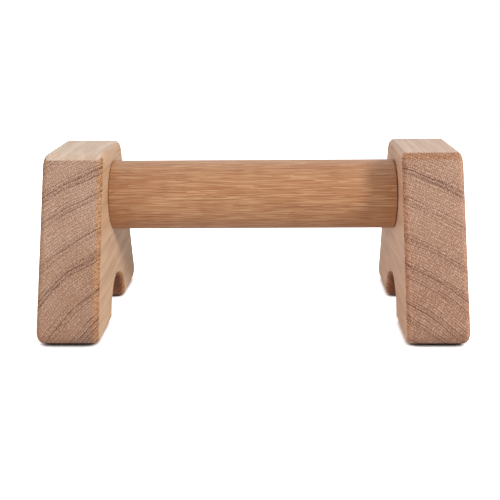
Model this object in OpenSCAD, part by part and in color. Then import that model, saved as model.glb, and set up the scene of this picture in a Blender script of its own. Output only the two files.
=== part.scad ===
// Low wooden push-up bar: a round grip bar held between two trapezoid end blocks.
// X runs along the grip bar, Y from front to back and Z up, in millimetres.
// The origin is on the floor, straight below the middle of the grip bar.

/* [Grip bar] */
// Diameter of the grip bar
bar_d = 40; // [34:1:42]
// Length of bar that shows between the two end blocks
grip_length = 163; // [120:1:260]
// Height of the bar's axis above the underside of the end blocks
bar_axis_height = 69.3; // [62:0.1:72]
// Chamfer on the two ends of the bar
bar_chamfer = 0.6; // [0.5:0.1:2]
// Gap between the bar's left end and its block
left_gap = 0.1; // [0.1:0.1:1]
// Gap between the bar's right end and its block
right_gap = 0.4; // [0.1:0.1:1]

/* [End blocks] */
// Thickness of an end block, along the bar
block_t = 33.5; // [32:0.5:45]
// Height of an end block, from its underside to its top
block_h = 98; // [96:1:120]
// Depth of an end block at its base, between the corners before rounding
base_depth = 130; // [124:1:180]
// Depth of an end block at its top, between the corners before rounding
top_depth = 58; // [54:1:90]
// Corner radius of the outline at the top
top_corner_r = 10; // [5:0.5:14]
// Corner radius of the outline at the feet
foot_corner_r = 7; // [5:0.5:10]
// Round-over along every edge of the two side faces
edge_r = 3.5; // [1.5:0.5:4]
// Diameter of the arch that splits the base into two feet
arch_d = 40; // [30:1:48]

/* [Connector bolts] */
// Nominal diameter of the bolt
bolt_d = 8; // [6:1:8]
// Length of the bolt under its head
bolt_length = 50; // [46:1:52]
// Diameter of the domed bolt head
head_d = 14; // [12:0.5:15]
// Height of the domed bolt head
head_h = 4.4; // [3.5:0.1:5]
// Width across the flats of the hexagon socket in the head
key_width = 5; // [4:1:5]
// Depth of the hexagon socket in the head
key_depth = 2.6; // [2:0.1:3]
// Diameter of the clearance hole for the bolt through a block
bolt_hole_d = 9; // [8.5:0.1:10]
// Diameter of the recess in the outer face for the head and washer
recess_d = 21; // [20.5:0.5:24]
// Depth of the recess in the outer face
recess_depth = 7; // [7:0.5:8]
// Outside diameter of the washer
washer_d = 20; // [16:0.5:20]
// Thickness of the washer
washer_t = 1.5; // [1:0.1:1.6]

/* [Threaded inserts] */
// Outside diameter of an insert
insert_d = 12; // [11:0.5:13]
// Length of an insert
insert_length = 20; // [16:1:22]
// Depth of an insert's outer end below the end of the bar
insert_setback = 0.5; // [0.2:0.1:1]
// Depth of the hole in the end of the bar
insert_hole_depth = 28; // [26:1:40]

/* [Locking pins] */
// Diameter of the wooden pin that stops the bar from turning
pin_d = 6; // [5:0.5:6]
// Length of the pin, half of it in the bar and half in the block
pin_length = 30; // [16:1:40]
// Distance of the pin above the bar's axis
pin_offset = 13; // [12:0.5:13]

/* [Rubber feet] */
// Thickness of a rubber foot
rubber_t = 1; // [0.5:0.1:3]
// Size of a rubber foot along the bar
rubber_width = 25; // [20:0.5:25]
// Size of a rubber foot from front to back
rubber_depth = 30; // [20:0.5:30]
// Corner radius of a rubber foot
rubber_corner_r = 2; // [1:0.5:4]

/* [Hidden] */

// Sides of the true round surfaces, of the faceted block corners, and steps along a rounded edge
round_sides = 96;
corner_sides = 32;
edge_steps = 6;
// Amount that a cutting shape runs past the surface it cuts
overrun = 1;
// Gap left round the pieces that fit into a hole
fit_gap = 0.05;

// Places along X of the block's faces, the floor of its recess and the washer's outer face
inner_face_x = grip_length / 2;
outer_face_x = inner_face_x + block_t;
recess_floor_x = outer_face_x - recess_depth;
head_seat_x = recess_floor_x + washer_t;

// Distance from the middle to the bar's end, on the side given by 1 or -1
function bar_end_x(side) = inner_face_x - (side < 0 ? left_gap : right_gap);

// Heights above the floor
bar_z = rubber_t + bar_axis_height;

// The sloping front and back of a block lean in by this angle from the vertical
lean = atan((base_depth - top_depth) / 2 / block_h);
// Distances from the middle of the block to the centres of its rounded corners
foot_corner_y = base_depth / 2 - foot_corner_r / tan((90 - lean) / 2);
top_corner_y = top_depth / 2 - top_corner_r / tan((90 + lean) / 2);
// A rubber foot is centred on the flat of the wood, between the arch and the rounded corner
rubber_y = (arch_d / 2 + foot_corner_y) / 2;

// Points of a quarter circle about [x, y] from one angle to another
function quarter(x, y, radius, from, to) =
    [for (i = [0 : edge_steps])
        let (a = from + (to - from) * i / edge_steps)
            [x + radius * cos(a), y + radius * sin(a)]];

// Lays a shape that is built along +Z down along +X
module along_x() {
    rotate([0, 90, 0]) children();
}

// Puts a shape that is built for the right-hand end on the side given by 1 or -1
module on_side(side) {
    mirror([side < 0 ? 1 : 0, 0, 0]) children();
}

// Plain round rod along X between two places on the bar's axis
module rod_on_axis(diameter, from_x, to_x) {
    translate([from_x, 0, bar_z])
        along_x()
            cylinder(d = diameter, h = to_x - from_x, $fn = round_sides);
}

// Disc as thick as the block, with both rims rounded over
module corner_disc(radius) {
    along_x()
        rotate_extrude($fn = corner_sides)
            polygon(concat(
                [[0, 0]],
                quarter(radius - edge_r, edge_r, edge_r, -90, 0),
                quarter(radius - edge_r, block_t - edge_r, edge_r, 0, 90),
                [[0, block_t]]
            ));
}

// Solid outline of a block, before any hole is cut
module block_blank() {
    translate([inner_face_x, 0, rubber_t])
        hull()
            for (side = [-1, 1]) {
                translate([0, side * foot_corner_y, foot_corner_r])
                    corner_disc(foot_corner_r);
                translate([0, side * top_corner_y, block_h - top_corner_r])
                    corner_disc(top_corner_r);
            }
}

// Round cutter for the arch, flared at both ends so that the edges come out rounded
module arch_cutter() {
    arch_r = arch_d / 2;
    translate([inner_face_x, 0, rubber_t])
        along_x()
            rotate_extrude($fn = round_sides)
                polygon(concat(
                    [[0, -overrun], [arch_r + edge_r, -overrun]],
                    quarter(arch_r + edge_r, edge_r, edge_r, -90, -180),
                    quarter(arch_r + edge_r, block_t - edge_r, edge_r, -180, -270),
                    [[arch_r + edge_r, block_t + overrun], [0, block_t + overrun]]
                ));
}

// Hole for the locking pin, half in the bar and half in the block
module pin_hole() {
    translate([0, 0, pin_offset])
        rod_on_axis(
            pin_d + 2 * fit_gap,
            inner_face_x - pin_length / 2 - overrun / 2,
            inner_face_x + pin_length / 2 + overrun / 2
        );
}

// Ring that takes the sharp corner off the end of the bar at end_x
module bar_end_chamfer(end_x) {
    translate([end_x - bar_chamfer, 0, bar_z])
        along_x()
            rotate_extrude($fn = round_sides)
                polygon([
                    [bar_d / 2, 0],
                    [bar_d / 2 + overrun, 0],
                    [bar_d / 2 + overrun, bar_chamfer + overrun],
                    [bar_d / 2 - bar_chamfer - overrun, bar_chamfer + overrun]
                ]);
}

module end_block(side) {
    color("burlywood")
        on_side(side)
            difference() {
                block_blank();
                arch_cutter();
                rod_on_axis(bolt_hole_d, inner_face_x - overrun, outer_face_x);
                rod_on_axis(recess_d, recess_floor_x, outer_face_x + overrun);
                pin_hole();
            }
}

module grip_bar() {
    color("peru")
        difference() {
            rod_on_axis(bar_d, -bar_end_x(-1), bar_end_x(1));
            for (side = [-1, 1])
                on_side(side) {
                    rod_on_axis(
                        insert_d + 2 * fit_gap,
                        bar_end_x(side) - insert_hole_depth,
                        bar_end_x(side) + overrun
                    );
                    pin_hole();
                    bar_end_chamfer(bar_end_x(side));
                }
        }
}

// Bolt with a low domed head, sunk in the outer face
module bolt(side) {
    head_r = head_d / 2;
    dome_r = (head_r * head_r + head_h * head_h) / (2 * head_h);
    color("silver")
        on_side(side) {
            rod_on_axis(bolt_d, head_seat_x - bolt_length, head_seat_x + fit_gap);
            translate([head_seat_x, 0, bar_z])
                along_x()
                    difference() {
                        intersection() {
                            cylinder(d = head_d, h = head_h, $fn = round_sides);
                            translate([0, 0, head_h - dome_r])
                                sphere(r = dome_r, $fn = round_sides);
                        }
                        translate([0, 0, head_h - key_depth])
                            cylinder(d = key_width / cos(30), h = key_depth + overrun, $fn = 6);
                    }
        }
}

module washer(side) {
    color("gainsboro")
        on_side(side)
            difference() {
                rod_on_axis(washer_d, recess_floor_x, head_seat_x);
                rod_on_axis(bolt_hole_d, recess_floor_x - overrun, head_seat_x + overrun);
            }
}

// Sleeve with an inside thread, drawn as its plain bore, screwed into the end of the bar
module threaded_insert(side) {
    end_x = bar_end_x(side) - insert_setback;
    color("darkkhaki")
        on_side(side)
            difference() {
                rod_on_axis(insert_d, end_x - insert_length, end_x);
                rod_on_axis(
                    bolt_d + 2 * fit_gap,
                    end_x - insert_length - overrun,
                    end_x + overrun
                );
            }
}

module locking_pin(side) {
    color("wheat")
        on_side(side)
            translate([0, 0, pin_offset])
                rod_on_axis(
                    pin_d,
                    inner_face_x - pin_length / 2,
                    inner_face_x + pin_length / 2
                );
}

// Thin rubber sheet under the wood; front_back is -1 at the front and 1 at the back
module rubber_foot(side, front_back) {
    straight_x = rubber_width - 2 * rubber_corner_r;
    straight_y = rubber_depth - 2 * rubber_corner_r;
    color("dimgray")
        translate([side * (inner_face_x + block_t / 2), front_back * rubber_y, 0])
            linear_extrude(rubber_t)
                union() {
                    square([rubber_width, straight_y], center = true);
                    square([straight_x, rubber_depth], center = true);
                    for (x = [-1, 1], y = [-1, 1])
                        translate([x * straight_x / 2, y * straight_y / 2])
                            circle(r = rubber_corner_r, $fn = corner_sides);
                }
}

end_block(-1);  // left_end_block
end_block(1);  // right_end_block
grip_bar();
bolt(-1);  // left_bolt
bolt(1);  // right_bolt
washer(-1);  // left_washer
washer(1);  // right_washer
threaded_insert(-1);  // left_threaded_insert
threaded_insert(1);  // right_threaded_insert
locking_pin(-1);  // left_locking_pin
locking_pin(1);  // right_locking_pin
rubber_foot(-1, -1);  // left_front_rubber_foot
rubber_foot(-1, 1);  // left_back_rubber_foot
rubber_foot(1, -1);  // right_front_rubber_foot
rubber_foot(1, 1);  // right_back_rubber_foot
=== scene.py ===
"""Looks of a low wooden push-up bar: a round grip held between two arched end blocks.

Every size is in metres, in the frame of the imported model: X along the grip, Y from front to back,
Z up, with the origin on the floor below the middle of the grip. Places are worked out from the
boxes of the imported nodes; shape sizes that a box can't give are the named values below.
"""

import math

import bmesh
import bpy
from mathutils import Matrix, Vector


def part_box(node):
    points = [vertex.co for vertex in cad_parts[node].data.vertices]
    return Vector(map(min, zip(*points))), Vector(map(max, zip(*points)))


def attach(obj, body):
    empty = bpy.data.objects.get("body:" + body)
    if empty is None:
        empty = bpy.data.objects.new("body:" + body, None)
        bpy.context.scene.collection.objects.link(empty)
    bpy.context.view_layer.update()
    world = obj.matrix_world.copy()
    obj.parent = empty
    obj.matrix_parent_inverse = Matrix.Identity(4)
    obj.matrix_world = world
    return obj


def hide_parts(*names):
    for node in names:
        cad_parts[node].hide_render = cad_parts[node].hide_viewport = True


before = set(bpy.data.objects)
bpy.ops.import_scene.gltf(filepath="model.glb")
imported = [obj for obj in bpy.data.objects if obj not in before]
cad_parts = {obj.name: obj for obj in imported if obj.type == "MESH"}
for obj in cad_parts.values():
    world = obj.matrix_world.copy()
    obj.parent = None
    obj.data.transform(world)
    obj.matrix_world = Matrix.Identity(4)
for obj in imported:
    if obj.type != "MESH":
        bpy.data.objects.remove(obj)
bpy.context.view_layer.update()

MM = 0.001
# Points closer together than this are one point
WELD = 0.001 * MM
# How far a cutter reaches past the face that it cuts
CUT_REACH = 1 * MM

# Shape of an end block, seen along the grip bar
BASE_DEPTH = 130 * MM
TOP_DEPTH = 58 * MM
TOP_CORNER_R = 10 * MM
FOOT_CORNER_R = 7 * MM
ARCH_R = 20 * MM
ARCH_MOUTH_R = 2 * MM
ARCH_MOUTH_LEAST_R = 0.25 * MM
EDGE_R = 3.5 * MM

# Mesh of an end block: pieces in each rounding and each straight stretch of its outline
EDGE_STEPS = 14
CORNER_STEPS = 20
MOUTH_STEPS = 8
ARCH_STEPS = 56
SOLE_PIECES = 4
SLOPE_PIECES = 12
TOP_PIECES = 6
# Distance of the extra loops that keep flat faces flat beside a rounding
SUPPORT_LOOP = 0.3 * MM

# Holes of the joint between a block and the bar
BOLT_HOLE_R = 4.5 * MM
RECESS_R = 10.5 * MM
RECESS_DEPTH = 7 * MM
RECESS_EDGE = 0.5 * MM
INSERT_R = 6 * MM
INSERT_BORE_R = 4.05 * MM
INSERT_HOLE_DEPTH = 28 * MM
PIN_R = 3 * MM
FIT_GAP = 0.05 * MM
PIN_HOLE_R = PIN_R + FIT_GAP
PIN_HOLE_SEGMENTS = 48
PIN_OFFSET = 13 * MM
PIN_LENGTH = 30 * MM
PIN_HOLE_SPARE = 0.5 * MM

# Grip bar
BAR_END_ROUND = 0.6 * MM
BAR_END_STEPS = 6
BAR_SEGMENTS = 160
BAR_RINGS = 24

# Bolt: its head has a chamfered rim, a dome that starts above it and a flat round the key's socket
HEAD_R = 7 * MM
HEAD_H = 4.4 * MM
RIM_CHAMFER = 0.3 * MM
RIM_TAPER = 0.1 * MM
DOME_START = 0.5 * MM
DOME_STEPS = 12
FLAT_TAPER = 0.2 * MM
FLAT_SINK = 0.05 * MM
SHANK_R = 4 * MM
SHANK_CHAMFER = 0.6 * MM
KEY_FLATS = 5 * MM
KEY_CORNER_R = KEY_FLATS / 2 / math.cos(math.radians(30))
KEY_DEPTH = 2.6 * MM
KEY_LIP = 0.6 * MM

# Washer, insert and pin
WASHER_EDGE = 0.25 * MM
INSERT_CHAMFER = 0.3 * MM
THREAD_PITCH = 2.5 * MM
THREAD_HEIGHT = 0.7 * MM
THREAD_START = 0.8 * MM
THREAD_ENDS = 1 * MM
# One turn of the thread, as (part of the pitch, part of the height)
THREAD_TURN = ((0.0, 0.0), (0.45, 1.0), (0.55, 1.0), (0.95, 0.0))
PIN_SEGMENTS = 144
PIN_CHAMFER = 0.6 * MM
PIN_FLUTES = 18
FLUTE_DEPTH = 0.12 * MM

# Rubber foot
RUBBER_CORNER_R = 2 * MM
RUBBER_CORNER_STEPS = 8
RUBBER_EDGE = 0.15 * MM

LEFT, RIGHT = -1, 1
SIDE_NAMES = {LEFT: "left", RIGHT: "right"}


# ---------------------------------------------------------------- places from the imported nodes

BAR_LOW, BAR_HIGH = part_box("grip_bar")
BAR_R = (BAR_HIGH.z - BAR_LOW.z) / 2
BAR_Z = (BAR_HIGH.z + BAR_LOW.z) / 2
PIN_Z = BAR_Z + PIN_OFFSET

# Both blocks have the same height
BLOCK_LOW, BLOCK_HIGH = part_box("left_end_block")
WOOD_Z = BLOCK_LOW.z
BLOCK_H = BLOCK_HIGH.z - BLOCK_LOW.z


def reach_of(node):
    """How far from the middle of the bar a node begins and ends."""
    low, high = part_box(node)
    return sorted((abs(low.x), abs(high.x)))


# ---------------------------------------------------------------- mesh helpers


def weld(bm):
    """Joins points that share a place, and takes away what this leaves without a length or area."""
    bmesh.ops.remove_doubles(bm, verts=bm.verts, dist=WELD)
    bmesh.ops.dissolve_degenerate(bm, edges=bm.edges, dist=WELD)


def shade_smooth(mesh, sharp_angle=35.0):
    """Shades a mesh smooth, except over edges that bend by more than the angle, in degrees."""
    mesh.polygons.foreach_set("use_smooth", [True] * len(mesh.polygons))
    mesh.set_sharp_from_angle(angle=math.radians(sharp_angle))


def new_object(name, bm, sharp_angle=35.0):
    bmesh.ops.recalc_face_normals(bm, faces=bm.faces)
    mesh = bpy.data.meshes.new(name)
    bm.to_mesh(mesh)
    bm.free()
    shade_smooth(mesh, sharp_angle)
    obj = bpy.data.objects.new(name, mesh)
    bpy.context.scene.collection.objects.link(obj)
    return obj


def loft(bm, rings):
    """Joins rings that all have the same number of points, and caps the first and the last."""
    loops = [[bm.verts.new(point) for point in ring] for ring in rings]
    count = len(loops[0])
    for a, b in zip(loops, loops[1:]):
        for i in range(count):
            j = (i + 1) % count
            bm.faces.new((a[i], a[j], b[j], b[i]))
    bm.faces.new(loops[0])
    bm.faces.new(list(reversed(loops[-1])))


def lathe(name, profile, side, segments=96, centre_z=BAR_Z, phase=0.0, sharp_angle=35.0):
    """Turns a closed profile of (x, radius) points about a line along X; x is mirrored on the left."""
    bm = bmesh.new()
    rings = []
    for k in range(segments):
        a = 2 * math.pi * k / segments + phase
        rings.append([
            bm.verts.new((side * x, r * math.sin(a), centre_z + r * math.cos(a)))
            for x, r in profile
        ])
    for here, after in zip(rings, rings[1:] + rings[:1]):
        for i in range(len(profile)):
            j = (i + 1) % len(profile)
            on_axis = profile[i][1] == 0.0 and profile[j][1] == 0.0
            if not on_axis:
                bm.faces.new((here[i], here[j], after[j], after[i]))
    weld(bm)
    return new_object(name, bm, sharp_angle)


def arc(cx, cr, radius, start, end, steps):
    """Points of an arc about (cx, cr), angles in degrees."""
    points = []
    for k in range(steps + 1):
        a = math.radians(start + (end - start) * k / steps)
        points.append((cx + radius * math.cos(a), cr + radius * math.sin(a)))
    return points


def cut(target, cutters):
    """Takes the cutters out of the target and removes them."""
    for cutter in cutters:
        modifier = target.modifiers.new("cut", "BOOLEAN")
        modifier.operation = "DIFFERENCE"
        modifier.solver = "EXACT"
        modifier.object = cutter
        bpy.context.view_layer.update()
        graph = bpy.context.evaluated_depsgraph_get()
        mesh = bpy.data.meshes.new_from_object(target.evaluated_get(graph))
        target.modifiers.clear()
        old = target.data
        target.data = mesh
        bpy.data.meshes.remove(old)
        bpy.data.objects.remove(cutter)
    mesh = target.data
    mesh.name = target.name
    bm = bmesh.new()
    bm.from_mesh(mesh)
    weld(bm)
    bm.to_mesh(mesh)
    bm.free()
    shade_smooth(mesh)
    return target


# ---------------------------------------------------------------- end blocks


def block_faces(side):
    """X of the inner and the outer face of the block on that side."""
    inner, outer = reach_of(SIDE_NAMES[side] + "_end_block")
    return side * inner, side * outer


def rounded_corner(before, corner, after, radius, steps):
    """Arc that rounds a corner of a polyline, as a list of (y, z) points."""
    to_before = (before - corner).normalized()
    to_after = (after - corner).normalized()
    half = to_before.angle(to_after) / 2
    reach = radius / math.tan(half)
    centre = corner + (to_before + to_after).normalized() * (radius / math.sin(half))
    start = corner + to_before * reach - centre
    end = corner + to_after * reach - centre
    sweep = math.pi - 2 * half
    turn = 1 if start.cross(end) > 0 else -1
    return [centre + Matrix.Rotation(turn * sweep * k / steps, 2) @ start for k in range(steps + 1)]


def straight(a, b, pieces):
    """Points between two ends, the outer ones a support loop away from them, ends left out."""
    length = (b - a).length
    unit = (b - a) / length
    inner = length - 2 * SUPPORT_LOOP
    return [a + unit * (SUPPORT_LOOP + inner * k / pieces) for k in range(pieces + 1)]


def block_outline(inset):
    """Outline of a block, that far inside its full outline, as (y, z) points from its underside.

    It runs from the arch's back mouth, round the back foot, the top and the front foot, and back
    through the arch.
    """
    lean = math.atan((BASE_DEPTH - TOP_DEPTH) / 2 / BLOCK_H)

    def on_slope(z):
        return Vector((BASE_DEPTH / 2 - z * math.tan(lean) - inset / math.cos(lean), z))

    foot, top = on_slope(inset), on_slope(BLOCK_H - inset)
    mirrored_top = Vector((-top.x, top.y))

    # The mouth's arc touches the base line from above and the arch from outside
    arch_r = ARCH_R + inset
    mouth_r = max(ARCH_MOUTH_R - inset, ARCH_MOUTH_LEAST_R)
    centre_z = inset + mouth_r
    mouth_centre = Vector((math.sqrt((arch_r + mouth_r) ** 2 - centre_z ** 2), centre_z))
    touch_arch = mouth_centre * (arch_r / (arch_r + mouth_r))
    from_centre = touch_arch - mouth_centre
    first = math.atan2(from_centre.y, from_centre.x) % (2 * math.pi)
    last = 1.5 * math.pi
    mouth = []
    for k in range(MOUTH_STEPS + 1):
        a = first + (last - first) * k / MOUTH_STEPS
        mouth.append(mouth_centre + Vector((math.cos(a), math.sin(a))) * mouth_r)

    foot_arc = rounded_corner(mouth[-1], foot, top, FOOT_CORNER_R - inset, CORNER_STEPS)
    top_arc = rounded_corner(foot, top, mirrored_top, TOP_CORNER_R - inset, CORNER_STEPS)
    half = list(mouth)
    half += straight(mouth[-1], foot_arc[0], SOLE_PIECES)
    half += foot_arc
    half += straight(foot_arc[-1], top_arc[0], SLOPE_PIECES)
    half += top_arc
    mirrored = [Vector((-p.x, p.y)) for p in reversed(half)]
    points = half + straight(top_arc[-1], mirrored[0], TOP_PIECES) + mirrored

    # The arch, from the front mouth back to the back mouth
    to_angle = math.atan2(touch_arch.y, touch_arch.x)
    from_angle = math.pi - to_angle
    for k in range(1, ARCH_STEPS):
        a = from_angle + (to_angle - from_angle) * k / ARCH_STEPS
        points.append(Vector((math.cos(a), math.sin(a))) * arch_r)
    return points


def make_block(side):
    """Block with rounded edges, drilled for the bolt, its head and the pin."""
    inner, outer = (abs(x) for x in block_faces(side))
    thickness = outer - inner

    # Each section is (distance from the inner face, inset of its outline)
    rim = [(0.0, EDGE_R + SUPPORT_LOOP)]
    for k in range(EDGE_STEPS + 1):
        a = math.radians(90) * k / EDGE_STEPS
        rim.append((EDGE_R * (1 - math.cos(a)), EDGE_R * (1 - math.sin(a))))
    rim.append((EDGE_R + SUPPORT_LOOP, 0.0))
    far_rim = [(thickness - distance, inset) for distance, inset in reversed(rim)]
    rings = []
    for distance, inset in rim + [(thickness / 2, 0.0)] + far_rim:
        x = side * (inner + distance)
        rings.append([(x, p.x, p.y + WOOD_Z) for p in block_outline(inset)])
    bm = bmesh.new()
    loft(bm, rings)
    block = new_object("block_" + SIDE_NAMES[side], bm)

    recess_floor = outer - RECESS_DEPTH
    recess = lathe("cut_recess", [
        (inner - CUT_REACH, 0.0),
        (inner - CUT_REACH, BOLT_HOLE_R),
        (recess_floor, BOLT_HOLE_R),
        (recess_floor, RECESS_R),
        (outer - RECESS_EDGE, RECESS_R),
        (outer, RECESS_R + RECESS_EDGE),
        (outer + CUT_REACH, RECESS_R + RECESS_EDGE + CUT_REACH),
        (outer + CUT_REACH, 0.0),
    ], side)
    pin_hole_end = inner + PIN_LENGTH / 2 + PIN_HOLE_SPARE
    pin_hole = lathe("cut_pin", [
        (inner - CUT_REACH, 0.0),
        (inner - CUT_REACH, PIN_HOLE_R),
        (pin_hole_end, PIN_HOLE_R),
        (pin_hole_end, 0.0),
    ], side, segments=PIN_HOLE_SEGMENTS, centre_z=PIN_Z)
    return cut(block, [recess, pin_hole])


# ---------------------------------------------------------------- grip bar


def make_bar():
    """Round bar with a hole for the insert turned into each end and a hole beside it for the pin."""
    bore = INSERT_R + FIT_GAP
    left_x, right_x = BAR_LOW.x, BAR_HIGH.x
    left_bottom, right_bottom = left_x + INSERT_HOLE_DEPTH, right_x - INSERT_HOLE_DEPTH
    barrel_from, barrel_to = left_x + BAR_END_ROUND, right_x - BAR_END_ROUND
    round_r = BAR_R - BAR_END_ROUND
    profile = [(left_bottom, 0.0), (left_bottom, bore), (left_x, bore)]
    profile += arc(barrel_from, round_r, BAR_END_ROUND, 180, 90, BAR_END_STEPS)
    for k in range(1, BAR_RINGS):
        profile.append((barrel_from + (barrel_to - barrel_from) * k / BAR_RINGS, BAR_R))
    profile += arc(barrel_to, round_r, BAR_END_ROUND, 90, 0, BAR_END_STEPS)
    profile += [(right_x, bore), (right_bottom, bore), (right_bottom, 0.0)]
    bar = lathe("grip", profile, 1, segments=BAR_SEGMENTS)

    # The cutters are turned by half a segment, so that no point of one falls on an edge of the bar
    half_segment = math.pi / PIN_HOLE_SEGMENTS
    cutters = []
    for side, end_x in ((LEFT, -left_x), (RIGHT, right_x)):
        start = abs(block_faces(side)[0]) - PIN_LENGTH / 2 - PIN_HOLE_SPARE
        end = end_x + CUT_REACH
        cutters.append(lathe("cut_bar_pin", [
            (start, 0.0), (start, PIN_HOLE_R), (end, PIN_HOLE_R), (end, 0.0),
        ], side, segments=PIN_HOLE_SEGMENTS, centre_z=PIN_Z, phase=half_segment))
    return cut(bar, cutters)


# ---------------------------------------------------------------- small pieces


def make_bolt(side):
    """Bolt with a domed head, whose flat middle has a hexagonal socket."""
    name = SIDE_NAMES[side]
    tip, outer = reach_of(name + "_bolt")
    seat = outer - HEAD_H
    profile = [(tip, 0.0), (tip, SHANK_R - SHANK_CHAMFER), (tip + SHANK_CHAMFER, SHANK_R)]
    profile += [(seat, SHANK_R), (seat, HEAD_R - RIM_CHAMFER), (seat + RIM_CHAMFER, HEAD_R - RIM_TAPER)]
    dome_r = (HEAD_R ** 2 + HEAD_H ** 2) / (2 * HEAD_H)
    dome_x = outer - dome_r
    flat_r = KEY_CORNER_R + KEY_LIP
    start = math.degrees(math.acos((seat + DOME_START - dome_x) / dome_r))
    end = math.degrees(math.asin(flat_r / dome_r))
    profile += arc(dome_x, 0.0, dome_r, start, end, DOME_STEPS)
    flat_x = outer - FLAT_SINK
    profile += [(flat_x, flat_r - FLAT_TAPER), (flat_x, 0.0)]
    bolt = lathe("bolt_" + name, profile, side)

    corners = [math.radians(60 * k) for k in range(6)]
    rings = []
    for x in (outer + CUT_REACH, outer - KEY_DEPTH):
        rings.append([
            (side * x, KEY_CORNER_R * math.cos(a), BAR_Z + KEY_CORNER_R * math.sin(a))
            for a in corners
        ])
    socket = bmesh.new()
    loft(socket, rings)
    return cut(bolt, [new_object("cut_socket", socket)])


def make_washer(side):
    """Flat ring with chamfers on both outer edges and on the inner edge that shows."""
    name = SIDE_NAMES[side]
    inner, outer = reach_of(name + "_washer")
    low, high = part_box(name + "_washer")
    r = (high.z - low.z) / 2
    edge = WASHER_EDGE
    return lathe("washer_" + name, [
        (inner, BOLT_HOLE_R), (outer - edge, BOLT_HOLE_R), (outer, BOLT_HOLE_R + edge),
        (outer, r - edge), (outer - edge, r), (inner + edge, r), (inner, r - edge),
    ], side, sharp_angle=20)


def make_insert(side):
    """Sleeve with the raised spiral that grips the wood drawn as shallow rings."""
    name = SIDE_NAMES[side]
    inner, outer = reach_of(name + "_threaded_insert")
    root = INSERT_R - THREAD_HEIGHT
    wide = INSERT_BORE_R + INSERT_CHAMFER
    profile = [(outer, wide), (outer - INSERT_CHAMFER, INSERT_BORE_R)]
    profile += [(inner + INSERT_CHAMFER, INSERT_BORE_R), (inner, wide), (inner, root)]
    for k in range(int((outer - inner - THREAD_ENDS) / THREAD_PITCH)):
        start = inner + THREAD_START + k * THREAD_PITCH
        for along, up in THREAD_TURN:
            profile.append((start + along * THREAD_PITCH, root + up * THREAD_HEIGHT))
    profile.append((outer, root))
    return lathe("insert_" + name, profile, side, sharp_angle=25)


def make_pin(side):
    """Dowel with pressed flutes along it and chamfered ends."""
    name = SIDE_NAMES[side]
    start, end = reach_of(name + "_locking_pin")
    narrow_r = PIN_R - PIN_CHAMFER
    rings = []
    for x, r, flute_depth in ((start, narrow_r, 0.0), (start + PIN_CHAMFER, PIN_R, FLUTE_DEPTH),
                              (end - PIN_CHAMFER, PIN_R, FLUTE_DEPTH), (end, narrow_r, 0.0)):
        ring = []
        for k in range(PIN_SEGMENTS):
            a = 2 * math.pi * k / PIN_SEGMENTS
            fluted_r = r - flute_depth * (0.5 + 0.5 * math.cos(PIN_FLUTES * a)) ** 4
            ring.append((side * x, fluted_r * math.sin(a), PIN_Z + fluted_r * math.cos(a)))
        rings.append(ring)
    bm = bmesh.new()
    loft(bm, rings)
    return new_object("pin_" + name, bm, sharp_angle=25)


def make_rubber(name):
    """Flat sheet with rounded corners and small chamfers."""
    low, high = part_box(name + "_rubber_foot")
    middle_x, middle_y = (low.x + high.x) / 2, (low.y + high.y) / 2
    corner_x = (high.x - low.x) / 2 - RUBBER_CORNER_R
    corner_y = (high.y - low.y) / 2 - RUBBER_CORNER_R

    rings = []
    for z, inset in ((low.z, RUBBER_EDGE), (low.z + RUBBER_EDGE, 0.0),
                     (high.z - RUBBER_EDGE, 0.0), (high.z, RUBBER_EDGE)):
        ring = []
        for to_x, to_y, start in ((1, 1, 0), (-1, 1, 90), (-1, -1, 180), (1, -1, 270)):
            x, y = middle_x + to_x * corner_x, middle_y + to_y * corner_y
            for px, py in arc(x, y, RUBBER_CORNER_R - inset, start, start + 90, RUBBER_CORNER_STEPS):
                ring.append((px, py, z))
        rings.append(ring)
    bm = bmesh.new()
    loft(bm, rings)
    return new_object("rubber_" + name, bm)


# ---------------------------------------------------------------- material helpers


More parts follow.
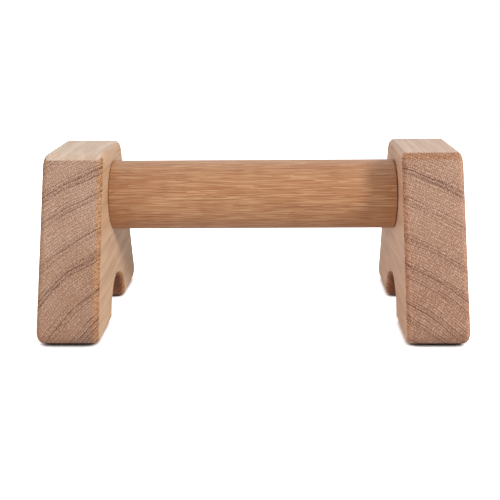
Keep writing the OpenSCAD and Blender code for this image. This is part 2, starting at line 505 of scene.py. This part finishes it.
class Nodes:
    """Short forms for building the node tree of a material or a world."""

    def __init__(self, owner):
        owner.use_nodes = True
        self.tree = owner.node_tree
        self.tree.nodes.clear()

    def add(self, kind, **values):
        node = self.tree.nodes.new(kind)
        for key, value in values.items():
            setattr(node, key, value)
        return node

    def feed(self, target, value):
        """Links a socket to an input, or sets the input to a plain value."""
        if isinstance(value, bpy.types.NodeSocket):
            self.tree.links.new(value, target)
        else:
            target.default_value = value

    def math(self, operation, a, b=None):
        node = self.add("ShaderNodeMath", operation=operation)
        self.feed(node.inputs[0], a)
        if b is not None:
            self.feed(node.inputs[1], b)
        return node.outputs[0]

    def vector_math(self, operation, a, b):
        node = self.add("ShaderNodeVectorMath", operation=operation)
        self.feed(node.inputs[0], a)
        self.feed(node.inputs[1], b)
        return node.outputs[0]

    def length(self, a, b):
        """Length of a line with these two sides."""
        return self.math("SQRT", self.math("ADD", self.math("MULTIPLY", a, a), self.math("MULTIPLY", b, b)))

    def parts(self, vector):
        """X, Y and Z of a vector."""
        node = self.add("ShaderNodeSeparateXYZ")
        self.feed(node.inputs[0], vector)
        return node.outputs

    def scaled(self, vector, scale, shift=(0, 0, 0)):
        node = self.add("ShaderNodeMapping")
        self.feed(node.inputs["Vector"], vector)
        node.inputs["Scale"].default_value = scale
        node.inputs["Location"].default_value = shift
        return node.outputs["Vector"]

    def ramp(self, value, low, high, to_low=0.0, to_high=1.0, smooth=True):
        """A value that goes from to_low at low to to_high at high, and stays within them."""
        node = self.add("ShaderNodeMapRange", clamp=True)
        node.interpolation_type = "SMOOTHSTEP" if smooth else "LINEAR"
        self.feed(node.inputs["Value"], value)
        node.inputs["From Min"].default_value = low
        node.inputs["From Max"].default_value = high
        node.inputs["To Min"].default_value = to_low
        node.inputs["To Max"].default_value = to_high
        return node.outputs["Result"]

    def mix(self, factor, a, b, blend="MIX"):
        """Lays colour b over colour a, as strongly as the factor says."""
        node = self.add("ShaderNodeMix", data_type="RGBA", blend_type=blend)
        self.feed(node.inputs[0], factor)
        self.feed(node.inputs[6], a)
        self.feed(node.inputs[7], b)
        return node.outputs[2]

    def noise_node(self, vector, scale, detail, roughness):
        node = self.add("ShaderNodeTexNoise")
        self.feed(node.inputs["Vector"], vector)
        node.inputs["Scale"].default_value = scale
        node.inputs["Detail"].default_value = detail
        node.inputs["Roughness"].default_value = roughness
        return node

    def noise(self, vector, scale, detail=2.0, roughness=0.5):
        return self.noise_node(vector, scale, detail, roughness).outputs["Fac"]

    def cells(self, vector, scale, disorder=1.0, **values):
        """Voronoi cells: the distance to the nearest cell's middle, and a random value for each."""
        node = self.add("ShaderNodeTexVoronoi", **values)
        self.feed(node.inputs["Vector"], vector)
        node.inputs["Scale"].default_value = scale
        node.inputs["Randomness"].default_value = disorder
        random = self.add("ShaderNodeSeparateColor")
        self.feed(random.inputs[0], node.outputs["Color"])
        return node.outputs["Distance"], random.outputs[0]


class Surface(Nodes):
    """A material with one principled shader, whose patterns stand still in the object's space."""

    def __init__(self, name):
        self.material = bpy.data.materials.new(name)
        super().__init__(self.material)
        self.shader = self.add("ShaderNodeBsdfPrincipled")
        output = self.add("ShaderNodeOutputMaterial")
        self.feed(output.inputs["Surface"], self.shader.outputs["BSDF"])
        self.coordinates = self.add("ShaderNodeTexCoord").outputs["Object"]

    def set(self, name, value):
        self.feed(self.shader.inputs[name], value)

    def bump(self, height, strength, distance):
        node = self.add("ShaderNodeBump")
        node.inputs["Strength"].default_value = strength
        node.inputs["Distance"].default_value = distance
        self.feed(node.inputs["Height"], height)
        self.set("Normal", node.outputs["Normal"])


def srgb(r, g, b):
    """Scene-linear colour from 8-bit display values."""
    def channel(v):
        v = v / 255
        return v / 12.92 if v <= 0.04045 else ((v + 0.055) / 1.055) ** 2.4
    return (channel(r), channel(g), channel(b), 1.0)


# ---------------------------------------------------------------- wood of the blocks

WOOD_COLOURS = {
    LEFT: {
        "end": (srgb(194, 161, 140), srgb(162, 121, 95)),
        "long": (srgb(224, 198, 177), srgb(208, 178, 155)),
        # side and top: painted shade, multiplied over the long grain where it faces sideways and where it
        # faces up
        "side": srgb(237, 224, 204),
        "top": srgb(252, 255, 255),
        "edge": srgb(198, 148, 100),
    },
    RIGHT: {
        "end": (srgb(182, 144, 121), srgb(150, 106, 81)),
        "long": (srgb(230, 197, 175), srgb(217, 181, 158)),
        # side and top: painted shade, multiplied over the long grain where it faces sideways and where it
        # faces up
        "side": srgb(255, 246, 234),
        "top": srgb(232, 232, 234),
        "edge": srgb(206, 156, 126),
    },
    "fleck": srgb(212, 180, 158),
    "ray": srgb(210, 176, 152),
    "crown": srgb(255, 244, 228),
    "line": srgb(96, 62, 50),
    "speckle": srgb(150, 90, 52),
    "band": srgb(120, 84, 70),
    "pore": srgb(84, 50, 38),
    "streak": srgb(182, 140, 108),
    # Painted shade on the wall of the arch
    "arch": srgb(208, 174, 146),
}
# How strongly these show at the most, from 0 to 1, on the end grain and on the long grain
END_AMOUNTS = {"fleck": 0.12, "between": 0.45, "ray": 0.30, "speckle": 0.55, "band": 0.34}
LONG_AMOUNTS = {"streak": 0.32, "line": 0.16, "pore": 0.10}
# How strongly the painted shade on the arch's wall shows
ARCH_SHADE_AMOUNT = 0.9

# How the wood of each block grew, seen from its front. The pith, the middle of the tree, lies beyond
# the block's inner face and below the floor. A dark band is (distance from the pith in mm, half
# width in mm, depth from 0 to 1).
GROWTH = {
    LEFT: {
        "beyond": 41 * MM, "height": -39 * MM, "seed": 3.1, "from_mm": 55, "to_mm": 165,
        "bands": ((66.0, 9.0, 1.0), (80.3, 4.6, 0.7), (96.2, 4.2, 1.0), (108.0, 4.2, 0.6),
                  (125.0, 4.4, 0.65), (136.5, 5.4, 0.85), (150.0, 4.4, 0.5)),
    },
    RIGHT: {
        "beyond": 61 * MM, "height": -101 * MM, "seed": 17.7, "from_mm": 115, "to_mm": 225,
        "bands": ((123.0, 3.4, 0.6), (131.5, 3.6, 0.75), (138.7, 3.4, 0.7), (151.0, 2.0, 0.6),
                  (156.2, 3.0, 1.0), (168.5, 4.0, 0.8), (186.5, 4.6, 0.55), (201.5, 5.2, 0.95)),
    },
}
# The wood's grain pattern is this much longer along the grain than across it
GRAIN_STRETCH = 22
# How far the rings wander from true circles
RING_WANDER = 3.2 * MM
# Between two thin lines of a dark band
LINE_SPACING = 2.2 * MM
# Each pore sits in a cell of this size, divided by these factors across and along the rings
PORE_CELL = 0.92 * MM
PORES_ACROSS, PORES_AROUND = 0.74, 1.08
PORE_DISORDER = 0.45
# How much the tone of the rounded edges hides the pattern
EDGE_TINT = {LEFT: 0.65, RIGHT: 0.80}
# The rounded top edge counts as long grain from this slope upwards, where 1 faces straight up
TOP_SLOPE = {LEFT: (0.66, 0.72), RIGHT: (0.93, 0.97)}
# Roughness of the two kinds of grain, and depth of the pores
END_ROUGHNESS, LONG_ROUGHNESS = 0.76, 0.50
PORE_DEPTH = 0.10 * MM


class BlockWood(Surface):
    """Open-pored hardwood whose grain runs front to back, so the front and back show end grain.

    Growth rings are circles about the pith. Pores are tubes along the grain that stand in rows
    along the rings: dots on the end grain and fine dashes on the sides.
    """

    def __init__(self, side):
        super().__init__("wood_block_" + SIDE_NAMES[side])
        self.side = side
        self.grown = GROWTH[side]
        self.seed = self.grown["seed"]
        self.find_place_in_tree()
        self.find_bands()
        self.find_lines()
        self.find_pores()
        self.find_facing()
        colour = self.mix(self.end_grain, self.long_colour(), self.end_colour())
        # Painted shade: the wall of the arch is darkened
        in_arch = self.math("MULTIPLY", self.near_arch(), ARCH_SHADE_AMOUNT)
        self.set("Base Color", self.mix(in_arch, colour, WOOD_COLOURS["arch"], "MULTIPLY"))
        self.set_relief()

    def find_place_in_tree(self):
        """Distance from the pith, the way round it and the way along the grain."""
        seed = self.seed
        inner_x = block_faces(self.side)[0]
        pith = Vector((inner_x - self.side * self.grown["beyond"], 0.0, self.grown["height"]))
        place = self.scaled(self.coordinates, (1, 0.15, 1), (seed, seed, seed))
        wander = self.noise_node(place, 55, 3.0, 0.5)
        centred = self.vector_math("SUBTRACT", wander.outputs["Color"], (0.5, 0.5, 0.5))
        shift = self.vector_math("MULTIPLY", centred, (RING_WANDER, RING_WANDER, RING_WANDER))
        self.wandered = self.vector_math("ADD", self.coordinates, shift)
        x, y, z = self.parts(self.vector_math("SUBTRACT", self.wandered, pith))
        mean_radius = (self.grown["from_mm"] + self.grown["to_mm"]) / 2 * MM
        self.radius = self.length(x, z)
        self.arc = self.math("MULTIPLY", self.math("ARCTAN2", x, z), mean_radius)
        self.along = y

    def in_tree(self, across=1.0, around=1.0, along=1.0 / GRAIN_STRETCH, shift=0.0):
        """Texture place from the distance to the pith, the way round it and the way along it."""
        joined = self.add("ShaderNodeCombineXYZ")
        distance = self.math("MULTIPLY", self.radius, across)
        self.feed(joined.inputs[0], self.math("ADD", distance, shift + self.seed))
        self.feed(joined.inputs[1], self.math("MULTIPLY", self.arc, around))
        self.feed(joined.inputs[2], self.math("MULTIPLY", self.along, along))
        return joined.outputs[0]

    def find_bands(self):
        """Dark growth bands, as a curve over the distance from the pith."""
        near, far = self.grown["from_mm"], self.grown["to_mm"]
        self.outward = self.ramp(self.radius, near * MM, far * MM, smooth=False)
        stops = [(0.0, 0.0)]
        for distance, half_width, depth in self.grown["bands"]:
            for off, level in ((-half_width, 0.0), (0.0, depth), (half_width, 0.0)):
                position = (distance + off - near) / (far - near)
                stops.append((max(position, stops[-1][0] + 0.001), level))
        node = self.add("ShaderNodeValToRGB")
        self.feed(node.inputs[0], self.outward)
        curve = node.color_ramp
        curve.interpolation = "EASE"
        curve.elements.remove(curve.elements[-1])
        curve.elements[0].position = 0.0
        curve.elements[0].color = (0, 0, 0, 1)
        for position, level in stops[1:]:
            stop = curve.elements.new(min(position, 1.0))
            stop.color = (level, level, level, 1)
        self.bands = node.outputs["Color"]

    def find_lines(self):
        """Thin lines along the rings, broken here and there, most of them in the bands."""
        turns = self.math("MULTIPLY", self.radius, 2 * math.pi / LINE_SPACING)
        uneven = self.math("MULTIPLY", self.noise(self.in_tree(1.0, 0.06), 150, 3.0, 0.55), 16.0)
        self.lines_everywhere = self.ramp(self.math("SINE", self.math("ADD", turns, uneven)), 0.35, 0.95)
        breaks = self.noise(self.in_tree(1.0, 0.30, shift=9.0), 620, 2.0, 0.6)
        broken = self.ramp(breaks, 0.36, 0.58, 0.45, 1.0)
        amount = self.math("ADD", self.math("MULTIPLY", self.bands, 1.05), 0.26)
        self.lines = self.math("MULTIPLY", self.math("MULTIPLY", self.lines_everywhere, broken), amount)

    def find_pores(self):
        """Pores in loose rows along the rings, and the lighter wood between them."""
        place = self.in_tree(PORES_ACROSS, PORES_AROUND, shift=4.0)
        distance, _ = self.cells(place, 1 / PORE_CELL, PORE_DISORDER, voronoi_dimensions="2D")
        self.pores = self.ramp(distance, 0.12, 0.50, 1.0, 0.0)
        self.between = self.ramp(distance, 0.42, 0.72)

    def find_facing(self):
        """Which way the surface looks decides whether it is cut across or along the grain."""
        right, back, self.upward = self.parts(self.add("ShaderNodeTexCoord").outputs["Normal"])
        self.sideways = self.math("ABSOLUTE", right)
        self.inward = self.math("MULTIPLY", right, -self.side)
        not_top = self.ramp(self.upward, *TOP_SLOPE[self.side], 1.0, 0.0)
        across_grain = self.ramp(self.math("ABSOLUTE", back), 0.18, 0.30)
        self.end_grain = self.math("MULTIPLY", across_grain, not_top)

    def end_colour(self):
        amounts = END_AMOUNTS
        cloudy = self.noise(self.scaled(self.coordinates, (1, 0.2, 1), (self.seed, 4, 7)), 45)
        # Darker towards the pith, which lies below the block: the wood's tone near its middle, and also
        # painted shade that darkens the end grain towards the bottom
        pith_tone_and_low_shade = self.math("MULTIPLY", self.math("SUBTRACT", 1.0, self.outward), 0.8)
        tone = self.math("ADD", self.ramp(cloudy, 0.3, 0.7, 0.0, 0.4), pith_tone_and_low_shade)
        colour = self.mix(tone, *WOOD_COLOURS[self.side]["end"])

        # Light flecks, light wood between the pores, and rays: narrow strips straight out from the pith
        flecks = self.noise(self.in_tree(1.0, 0.5, shift=6.0), 1900, 0.0)
        flecks = self.ramp(flecks, 0.48, 0.66, 0.0, amounts["fleck"])
        colour = self.mix(flecks, colour, WOOD_COLOURS["fleck"])
        between = self.math("MULTIPLY", self.between, amounts["between"])
        colour = self.mix(between, colour, WOOD_COLOURS["fleck"])
        rays = self.noise(self.in_tree(0.10, 1.0, 0.25, 2.0), 1300, 1.0)
        rays = self.ramp(rays, 0.50, 0.68, 0.0, amounts["ray"])
        colour = self.mix(rays, colour, WOOD_COLOURS["ray"])

        # Sanded round, the end grain on the edges beside the inner and the outer face takes its own tone
        outer_edge = self.ramp(self.inward, -0.5, -0.1, 0.55, 0.0)
        rounded = self.math("MAXIMUM", self.ramp(self.inward, 0.08, 0.26), outer_edge)
        tint = self.math("MULTIPLY", rounded, EDGE_TINT[self.side])
        colour = self.mix(tint, colour, WOOD_COLOURS[self.side]["edge"])
        crown = self.ramp(self.upward, 0.58, 0.70)
        worn = self.math("MAXIMUM", rounded, crown) if self.side == RIGHT else rounded
        speckle = self.noise(self.in_tree(1.0, 0.6, shift=8.0), 950, 1.0)
        speckle = self.math("MULTIPLY", worn, self.ramp(speckle, 0.50, 0.64, 0.0, amounts["speckle"]))
        colour = self.mix(speckle, colour, WOOD_COLOURS["speckle"])

        # The thin lines are rows of pores, so they are darker at each pore
        dotted = self.math("MULTIPLY", self.lines, self.ramp(self.pores, 0.0, 0.7, 0.62, 1.0))
        colour = self.mix(dotted, colour, WOOD_COLOURS["line"])
        patchy = self.ramp(self.noise(self.in_tree(0.5, 0.35), 260, 3.0, 0.6), 0.3, 0.65, 0.45, 1.0)
        band = self.math("MULTIPLY", self.math("POWER", self.bands, 3.0), patchy)
        colour = self.mix(self.math("MULTIPLY", band, amounts["band"]), colour, WOOD_COLOURS["band"])
        pore_amount = self.math("ADD", self.math("MULTIPLY", self.bands, 0.30), 0.46)
        colour = self.mix(self.math("MULTIPLY", self.pores, pore_amount), colour, WOOD_COLOURS["pore"])
        if self.side == RIGHT:
            colour = self.mix(crown, colour, WOOD_COLOURS["crown"], "MULTIPLY")
        return colour

    def long_colour(self):
        amounts = LONG_AMOUNTS
        figure = self.noise(self.scaled(self.wandered, (1, 1 / 9, 1), (self.seed, 2, 5)), 170)
        colour = self.mix(self.ramp(figure, 0.35, 0.68), *WOOD_COLOURS[self.side]["long"])
        place = self.scaled(self.wandered, (1, 1 / GRAIN_STRETCH, 1), (self.seed, 0, 3))
        streak = self.ramp(self.noise(place, 700, 3.0, 0.6), 0.42, 0.70, 0.0, amounts["streak"])
        colour = self.mix(streak, colour, WOOD_COLOURS["streak"])
        colour = self.mix(self.math("MULTIPLY", self.lines, amounts["line"]), colour, WOOD_COLOURS["line"])
        colour = self.mix(self.math("MULTIPLY", self.pores, amounts["pore"]), colour, WOOD_COLOURS["line"])
        # Painted shade: the long grain is darkened by the way it faces, on the sides and on the top
        for facing, name in ((self.sideways, "side"), (self.upward, "top")):
            tint = WOOD_COLOURS[self.side][name]
            colour = self.mix(self.ramp(facing, 0.5, 0.9), colour, tint, "MULTIPLY")
        return colour

    def near_arch(self):
        """1 on the wall of the arch, where the wood is darkened as painted shade, and 0 away from it."""
        _, y, z = self.parts(self.coordinates)
        from_middle = self.length(y, self.math("SUBTRACT", z, WOOD_Z))
        return self.ramp(from_middle, ARCH_R + 0.05 * EDGE_R, ARCH_R + 0.45 * EDGE_R, 1.0, 0.0)

    def set_relief(self):
        pits = self.math("MULTIPLY", self.pores, -1.0)
        relief = self.math("ADD", pits, self.math("MULTIPLY", self.lines_everywhere, -0.3))
        relief = self.math("MULTIPLY", relief, self.ramp(self.end_grain, 0.0, 1.0, 0.12, 1.0))
        self.bump(relief, 0.35, PORE_DEPTH)
        roughness = self.ramp(self.end_grain, 0.0, 1.0, LONG_ROUGHNESS, END_ROUGHNESS)
        self.set("Roughness", self.math("ADD", roughness, self.math("MULTIPLY", self.pores, 0.10)))
        self.set("Specular IOR Level", 0.45)


# ---------------------------------------------------------------- other materials


def bar_wood():
    """Finer hardwood, whose grain runs along the bar."""
    n = Surface("wood_bar")

    def along(stretch, shift):
        """Texture place in which patterns are that many times longer along the bar."""
        return n.scaled(n.coordinates, (1 / stretch, 1, 1), shift)

    # Two sizes of long thin fibres with a random tone each, over a broad change of tone
    broad = n.noise(along(14, (2.3, 1.1, 0.4)), 110, 3.0, 0.6)
    hairs = n.noise(along(30, (9.0, 1.4, 2.0)), 1600, 1.0, 0.6)
    _, fine = n.cells(along(26, (0.7, 3.0, 5.0)), 2500)
    _, coarse = n.cells(along(30, (4.0, 8.0, 6.0)), 1500)
    colour = n.mix(n.ramp(broad, 0.3, 0.7), srgb(177, 128, 88), srgb(166, 115, 77))
    colour = n.mix(n.ramp(coarse, 0.0, 0.40, 0.20, 0.0), colour, srgb(152, 86, 48))
    colour = n.mix(n.ramp(coarse, 0.60, 1.0, 0.0, 0.10), colour, srgb(214, 172, 126))
    colour = n.mix(n.ramp(fine, 0.0, 0.45, 0.48, 0.0), colour, srgb(146, 80, 44))
    colour = n.mix(n.ramp(fine, 0.55, 1.0, 0.0, 0.42), colour, srgb(218, 178, 136))
    colour = n.mix(n.ramp(hairs, 0.54, 0.70, 0.0, 0.34), colour, srgb(112, 60, 36))

    # Pores cut open lengthwise, in some of the cells only
    distance, pick = n.cells(along(40, (1.3, 0.2, 0.5)), 1000)
    pores = n.math("MULTIPLY", n.ramp(distance, 0.12, 0.30, 1.0, 0.0), n.ramp(pick, 0.55, 0.9))
    n.set("Base Color", n.mix(n.math("MULTIPLY", pores, 0.45), colour, srgb(118, 70, 46)))

    height = n.math("ADD", n.math("MULTIPLY", pores, -1.0), n.math("MULTIPLY", hairs, -0.5))
    n.bump(height, 0.22, PORE_DEPTH)
    n.set("Roughness", n.math("ADD", n.math("MULTIPLY", pores, 0.15), 0.50))
    n.set("Specular IOR Level", 0.5)
    return n.material


def pin_wood():
    """Pale close-grained wood with fine streaks along the pin."""
    n = Surface("wood_pin")
    grain = n.noise(n.scaled(n.coordinates, (1 / 30, 1, 1)), 2200, 3.0, 0.6)
    n.set("Base Color", n.mix(n.ramp(grain, 0.35, 0.7), srgb(222, 190, 154), srgb(188, 148, 110)))
    n.set("Roughness", n.ramp(grain, 0.2, 0.8, 0.55, 0.7))
    n.bump(grain, 0.2, 0.05 * MM)
    return n.material


def metal(name, light, dark, rough_low, rough_high):
    """Machined metal with turning marks round the axis of the bar and faint stains."""
    n = Surface(name)
    turning = n.noise(n.scaled(n.coordinates, (30, 1, 1)), 420, 3.0, 0.6)
    stain = n.noise(n.coordinates, 260, 4.0, 0.55)
    n.set("Base Color", n.mix(n.ramp(stain, 0.35, 0.7), light, dark))
    n.set("Roughness", n.ramp(turning, 0.3, 0.7, rough_low, rough_high))
    n.set("Metallic", 1.0)
    n.bump(turning, 0.12, 0.03 * MM)
    return n.material


def rubber():
    """Matt black sheet with a fine pebbled skin and a little dust. Its black also stands in for the contact
    shade under each foot.
    """
    n = Surface("rubber_sheet_and_contact_shade")
    pebble, _ = n.cells(n.coordinates, 1600, feature="SMOOTH_F1")
    dust = n.noise(n.coordinates, 240, 4.0, 0.6)
    n.set("Base Color", n.mix(n.ramp(dust, 0.45, 0.75), srgb(34, 33, 33), srgb(62, 60, 57)))
    n.set("Roughness", n.ramp(dust, 0.3, 0.7, 0.78, 0.92))
    n.bump(pebble, 0.35, 0.06 * MM)
    return n.material


# ---------------------------------------------------------------- build the object


def place(obj, material, slot_name, *nodes):
    """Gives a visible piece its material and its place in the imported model."""
    obj.data.materials.clear()
    obj.data.materials.append(material)
    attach(obj, "root")
    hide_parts(*nodes)


def build_object():
    steel = metal("steel_zinc", srgb(206, 208, 210), srgb(176, 178, 182), 0.24, 0.42)
    brass = metal("brass_insert", srgb(222, 190, 118), srgb(190, 154, 84), 0.22, 0.40)
    pale_wood = pin_wood()
    black_rubber_and_shade = rubber()
    place(make_bar(), bar_wood(), "bar_wood", "grip_bar")
    for side in (LEFT, RIGHT):
        name = SIDE_NAMES[side]
        place(make_block(side), BlockWood(side).material, "block_wood", name + "_end_block")
        place(make_bolt(side), steel, "zinc_plated_steel", name + "_bolt")
        place(make_washer(side), steel, "zinc_plated_steel", name + "_washer")
        place(make_insert(side), brass, "insert_brass", name + "_threaded_insert")
        place(make_pin(side), pale_wood, "pin_wood", name + "_locking_pin")
        for foot in (name + "_front", name + "_back"):
            # The black sheets under the feet also give the dark line of contact shade there
            place(make_rubber(foot), black_rubber_and_shade, "foot_rubber", foot + "_rubber_foot")


# ---------------------------------------------------------------- floor, light and camera

# To the camera the floor gives back more than it gets, as in an overexposed backdrop, so only the
# shade right under the feet shows on it, and that shade is partly painted: ambient occlusion darkens
# the floor's colour there. Its bounce on the object is a plain white's.
FLOOR_HALF = 0.8
FLOOR_SEEN = (3.2, 3.4, 3.6, 1.0)
FLOOR_CONTACT_SHADE = (0.10, 0.10, 0.11, 1.0)
FLOOR_BOUNCE = (0.90, 0.90, 0.90, 1.0)
CONTACT_SHADE_REACH = 7.5 * MM
# Strength of the white surroundings for the camera and as a light. In reflections it lies between
# the two, this part of the way towards the camera's.
BACKDROP = 1.0
SKY = 0.30
BACKDROP_IN_GLOSS = 0.9

CAMERA_PLACE = Vector((11.02, -480.68, 176.32)) * MM
CAMERA_YAW, CAMERA_PITCH, CAMERA_ROLL = -0.02665, 0.19337, -0.01004
CAMERA_LENS, CAMERA_SENSOR, CAMERA_SHIFT_Y = 60.67, 36.0, -0.152


def make_floor():
    """Plain white floor with a painted contact shade: a soft dark line where something stands on it."""
    bm = bmesh.new()
    bmesh.ops.create_grid(bm, x_segments=8, y_segments=8, size=FLOOR_HALF)
    floor = new_object("studio_floor", bm)
    material = bpy.data.materials.new("studio_white")
    n = Nodes(material)
    bounced = n.add("ShaderNodeBsdfDiffuse")
    bounced.inputs["Color"].default_value = FLOOR_BOUNCE
    contact_shade = n.add("ShaderNodeAmbientOcclusion")
    contact_shade.inputs["Distance"].default_value = CONTACT_SHADE_REACH
    # Painted contact shade: the colour the camera sees darkens where ambient occlusion finds something
    # close
    openness = n.ramp(contact_shade.outputs["AO"], 0.12, 0.72, smooth=False)
    seen = n.add("ShaderNodeBsdfDiffuse")
    n.feed(seen.inputs["Color"], n.mix(openness, FLOOR_CONTACT_SHADE, FLOOR_SEEN))
    pick = n.add("ShaderNodeMixShader")
    n.feed(pick.inputs[0], n.add("ShaderNodeLightPath").outputs["Is Camera Ray"])
    n.feed(pick.inputs[1], bounced.outputs["BSDF"])
    n.feed(pick.inputs[2], seen.outputs["BSDF"])
    n.feed(n.add("ShaderNodeOutputMaterial").inputs["Surface"], pick.outputs[0])
    floor.data.materials.append(material)


def make_world():
    """White surroundings that light the object less than the camera sees them."""
    world = bpy.data.worlds.new("studio")
    n = Nodes(world)
    ray = n.add("ShaderNodeLightPath")
    gloss = n.math("MULTIPLY", ray.outputs["Is Glossy Ray"], BACKDROP_IN_GLOSS)
    seen = n.math("ADD", gloss, ray.outputs["Is Camera Ray"])
    background = n.add("ShaderNodeBackground")
    background.inputs["Color"].default_value = (1, 1, 1, 1)
    n.feed(background.inputs["Strength"], n.ramp(seen, 0.0, 1.0, SKY, BACKDROP, smooth=False))
    n.feed(n.add("ShaderNodeOutputWorld").inputs["Surface"], background.outputs[0])
    bpy.context.scene.world = world


def area_light(name, azimuth, elevation, distance, size, watts, colour=(1, 1, 1)):
    """Square soft light that shines on the bar. Azimuth 0 is in front of it and 90 on its right."""
    a, e = math.radians(azimuth), math.radians(elevation)
    data = bpy.data.lights.new(name, "AREA")
    data.shape = "SQUARE"
    data.size = size
    data.energy = watts
    data.color = colour
    light = bpy.data.objects.new(name, data)
    bpy.context.scene.collection.objects.link(light)
    outward = Vector((math.sin(a) * math.cos(e), -math.cos(a) * math.cos(e), math.sin(e)))
    light.location = outward * distance + Vector((0, 0, BAR_Z))
    light.rotation_mode = "QUATERNION"
    light.rotation_quaternion = (-outward).to_track_quat("-Z", "Y")


def make_lights():
    area_light("key_right_front", azimuth=56.5, elevation=27, distance=1.3, size=0.32, watts=11.8,
               colour=(1.0, 0.98, 0.95))
    area_light("fill_left_front", azimuth=-46, elevation=18, distance=1.2, size=0.5, watts=3.9,
               colour=(1.0, 0.95, 0.92))
    area_light("top_soft", azimuth=0, elevation=82, distance=1.2, size=0.9, watts=1.9)
    area_light("rim_back_top", azimuth=180, elevation=45, distance=1.2, size=0.8, watts=2.5,
               colour=(1.0, 0.94, 0.86))


def make_camera():
    """Camera in front of the bar and a little above it, turned by its yaw, pitch and roll."""
    forward = Vector((
        math.sin(CAMERA_YAW) * math.cos(CAMERA_PITCH),
        math.cos(CAMERA_YAW) * math.cos(CAMERA_PITCH),
        -math.sin(CAMERA_PITCH),
    ))
    right = Vector((math.cos(CAMERA_YAW), -math.sin(CAMERA_YAW), 0))
    up = right.cross(forward)
    rolled_right = right * math.cos(CAMERA_ROLL) + up * math.sin(CAMERA_ROLL)
    rolled_up = up * math.cos(CAMERA_ROLL) - right * math.sin(CAMERA_ROLL)
    data = bpy.data.cameras.new("camera")
    data.sensor_width = CAMERA_SENSOR
    data.lens = CAMERA_LENS
    data.shift_y = CAMERA_SHIFT_Y
    data.clip_start = 0.01
    data.clip_end = 100
    camera = bpy.data.objects.new("camera", data)
    bpy.context.scene.collection.objects.link(camera)
    turn = Matrix((rolled_right, rolled_up, -forward)).transposed()
    camera.matrix_world = Matrix.Translation(CAMERA_PLACE) @ turn.to_4x4()
    bpy.context.scene.camera = camera


build_object()
make_floor()
make_world()
make_lights()
make_camera()
bpy.context.scene.view_settings.view_transform = "Standard"
